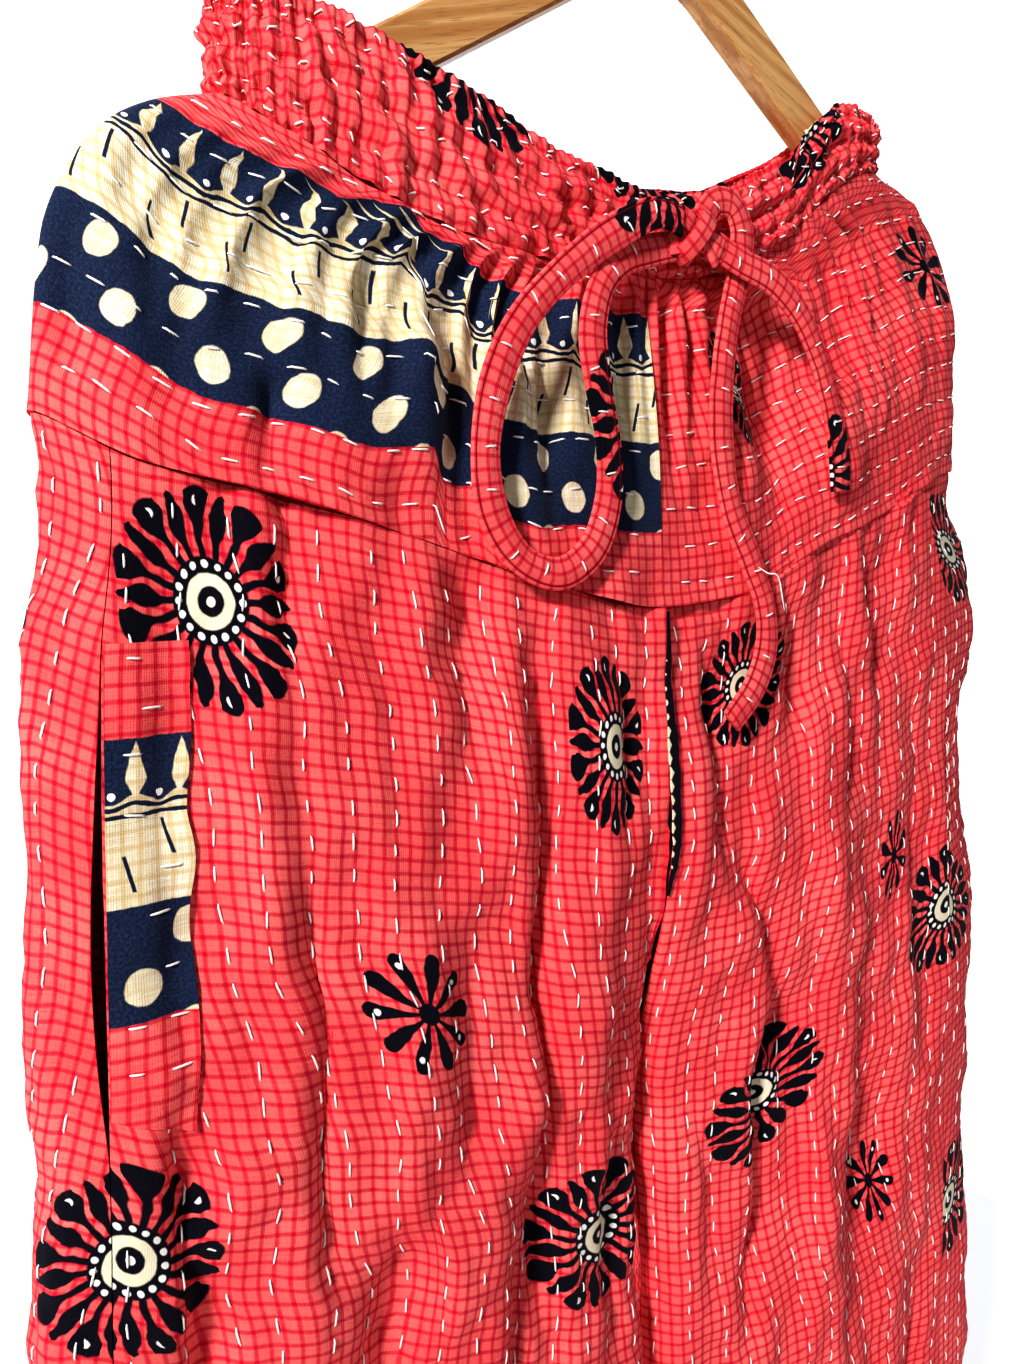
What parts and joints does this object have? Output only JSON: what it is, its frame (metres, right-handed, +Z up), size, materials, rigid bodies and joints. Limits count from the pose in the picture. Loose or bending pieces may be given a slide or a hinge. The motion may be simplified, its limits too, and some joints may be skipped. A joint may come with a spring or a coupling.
{
  "type": "pyjama pants on a coat hanger",
  "caption": "Wide cotton pyjama pants with a gathered waistband, yoke and drawstring, hanging flat on a wooden coat hanger.",
  "frame": {"origin": "inside top of the hanger's hook, where a rail carries it", "axes": "+Z up, +X to the viewer's right, the garment's front faces -Y"},
  "size_m": [0.562, 0.0783, 1.1488],
  "materials": {
    "red_check_cotton": "matt two-layer cotton in coral red with a crimson grid, black block-printed flowers and rows of white running stitch",
    "border_print_cotton": "matt cotton with a border of navy and cream bands, leaves and dots between red bands",
    "drawstring_cotton": "flat fabric tube in the same red check",
    "hanger_wood": "light brown wood with a satin varnish",
    "hook_steel": "plain bright steel"
  },
  "bodies": {
    "root": {"waistband_front": "red_check_cotton", "waistband_back": "red_check_cotton", "yoke_front_left": "border_print_cotton", "yoke_front_right": "red_check_cotton", "yoke_back_left": "red_check_cotton", "yoke_back_right": "red_check_cotton", "leg_front_left": "red_check_cotton", "leg_front_right": "red_check_cotton", "leg_back_left": "red_check_cotton", "leg_back_right": "red_check_cotton", "pocket_facing": "border_print_cotton", "front_seam_strip": "border_print_cotton", "drawstring_loop": "drawstring_cotton", "drawstring_long_tail": "drawstring_cotton", "drawstring_short_tail": "drawstring_cotton", "drawstring_knot": "drawstring_cotton", "hanger_arms": "hanger_wood", "hanger_hook": "hook_steel"}
  },
  "joints": []
}
